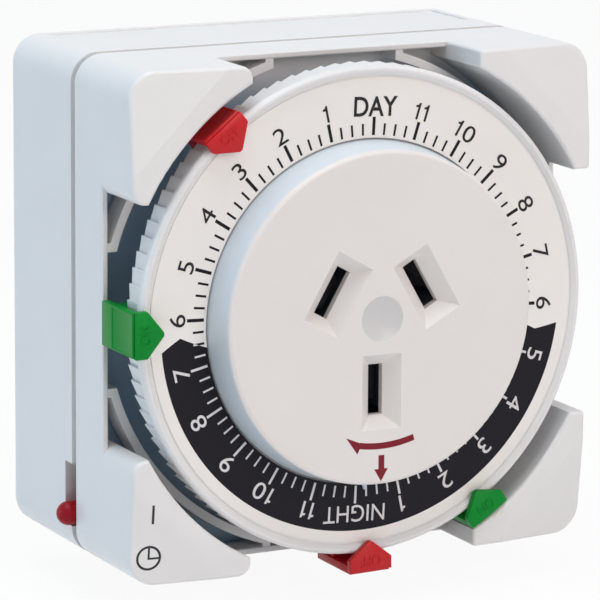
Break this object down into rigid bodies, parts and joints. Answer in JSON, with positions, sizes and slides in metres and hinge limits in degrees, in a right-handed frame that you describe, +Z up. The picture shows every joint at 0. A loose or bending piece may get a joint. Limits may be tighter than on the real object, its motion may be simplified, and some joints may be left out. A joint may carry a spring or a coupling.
{
  "type": "plug in timer switch",
  "caption": "Square plug-in mechanical timer switch with a rotating day dial, clip-on tappets, a front socket outlet, rear plug pins and a side override slide.",
  "frame": {"origin": "centre of the plug pin pattern on the flat rear face", "axes": "+X to the right seen from the front, +Y out of the rear face towards the wall outlet, +Z up; the dial faces -Y"},
  "size_m": [0.0733, 0.0659, 0.0729],
  "materials": {
    "white_plastic": "smooth satin moulded plastic",
    "dial_plastic": "satin moulded plastic",
    "dial_label": "printed matte label",
    "tappet_green": "moulded plastic",
    "tappet_red": "moulded plastic",
    "inner_plastic": "plain moulded plastic",
    "sleeve_plastic": "plain moulded plastic",
    "switch_red": "moulded plastic",
    "brass": "rolled strip",
    "plated_contact": "tin plated strip",
    "contact_silver": "silver alloy rivet",
    "gear_plastic": "natural moulded plastic",
    "steel": "plated",
    "coil": "taped winding",
    "magnet": "ferrite",
    "lead_insulation": "insulated wire"
  },
  "bodies": {
    "case": {"rear_case": "white_plastic", "front_case": "white_plastic", "socket_dome": "white_plastic", "contact_carrier": "inner_plastic", "active_contact": "plated_contact", "neutral_contact": "plated_contact", "earth_contact": "plated_contact", "active_pin": "brass", "neutral_pin": "brass", "earth_pin": "brass", "pin_sleeves": "sleeve_plastic", "pin_base": "inner_plastic", "neutral_link": "brass", "earth_link": "brass", "active_feed": "brass", "load_strap": "brass", "fixed_contact_tip": "contact_silver", "motor_can": "steel", "motor_coil": "coil", "rotor_pin": "steel", "gear_plate": "steel", "output_bush": "brass", "idler_axle": "steel", "lever_pivot": "steel", "detent_spring": "steel", "motor_screws": "steel", "dome_screws": "steel", "case_screws": "steel", "motor_leads": "lead_insulation"},
    "dial": {"dial_ring": "dial_plastic", "dial_label": "dial_label", "ring_gear": "gear_plastic"},
    "idler": {"idler_gear": "gear_plastic"},
    "motor_output": {"output_shaft": "steel", "output_pinion": "brass"},
    "rotor": {"motor_rotor": "magnet"},
    "trip_lever": {"trip_lever": "gear_plastic"},
    "switch": {"switch_leaf": "brass", "moving_contact_tip": "contact_silver"},
    "override": {"override_slide": "switch_red"},
    "tappet_on_left": {"tappet_on_left": "tappet_green"},
    "tappet_off_top": {"tappet_off_top": "tappet_red"},
    "tappet_off_bottom": {"tappet_off_bottom": "tappet_red"},
    "tappet_on_right": {"tappet_on_right": "tappet_green"}
  },
  "joints": [
    {"name": "dial_turn", "type": "hinge", "parent": "case", "child": "dial", "pos_m": [0, -0.0335, 0], "axis": [0, 1, 0], "continuous": true},
    {"name": "idler_turn", "type": "hinge", "parent": "case", "child": "idler", "pos_m": [0.02483, -0.027, 0.01183], "axis": [0, 1, 0], "continuous": true},
    {"name": "motor_output_turn", "type": "hinge", "parent": "case", "child": "motor_output", "pos_m": [0.0186, -0.0145, 0.0186], "axis": [0, 1, 0], "continuous": true},
    {"name": "rotor_turn", "type": "hinge", "parent": "case", "child": "rotor", "pos_m": [0.0186, -0.006, 0.0186], "axis": [0, 1, 0], "continuous": true},
    {"name": "override_slide_move", "type": "slide", "parent": "case", "child": "override", "axis": [0, 0, 1], "range_m": [0, 0.00535]},
    {"name": "trip_lever_rock", "type": "hinge", "parent": "case", "child": "trip_lever", "pos_m": [0.004, -0.0204, -0.026], "axis": [0, 1, 0], "range_deg": [0, 10.5]},
    {"name": "switch_leaf_flex", "type": "hinge", "parent": "case", "child": "switch", "pos_m": [-0.02, -0.01, -0.022], "axis": [0, -1, 0], "range_deg": [0, 3.5]},
    {"name": "tappet_on_left_slide", "type": "slide", "parent": "dial", "child": "tappet_on_left", "axis": [-1, 0, 0], "range_m": [0, 0.005]},
    {"name": "tappet_off_top_slide", "type": "slide", "parent": "dial", "child": "tappet_off_top", "axis": [-0.6334, 0, 0.7738], "range_m": [0, 0.0011]},
    {"name": "tappet_on_right_slide", "type": "slide", "parent": "dial", "child": "tappet_on_right", "axis": [0.5402, 0, -0.8415], "range_m": [-0.0011, 0]},
    {"name": "tappet_off_bottom_slide", "type": "slide", "parent": "dial", "child": "tappet_off_bottom", "axis": [0.0192, 0, -0.9998], "range_m": [-0.0013, 0.0034]}
  ],
  "couplings": [
    {"joint": "idler_turn", "follows": "dial_turn", "ratio": 12},
    {"joint": "motor_output_turn", "follows": "dial_turn", "ratio": -43.2},
    {"joint": "trip_lever_rock", "follows": "override_slide_move", "rad_per_m": 34.25},
    {"joint": "switch_leaf_flex", "follows": "override_slide_move", "rad_per_m": 11.418}
  ]
}
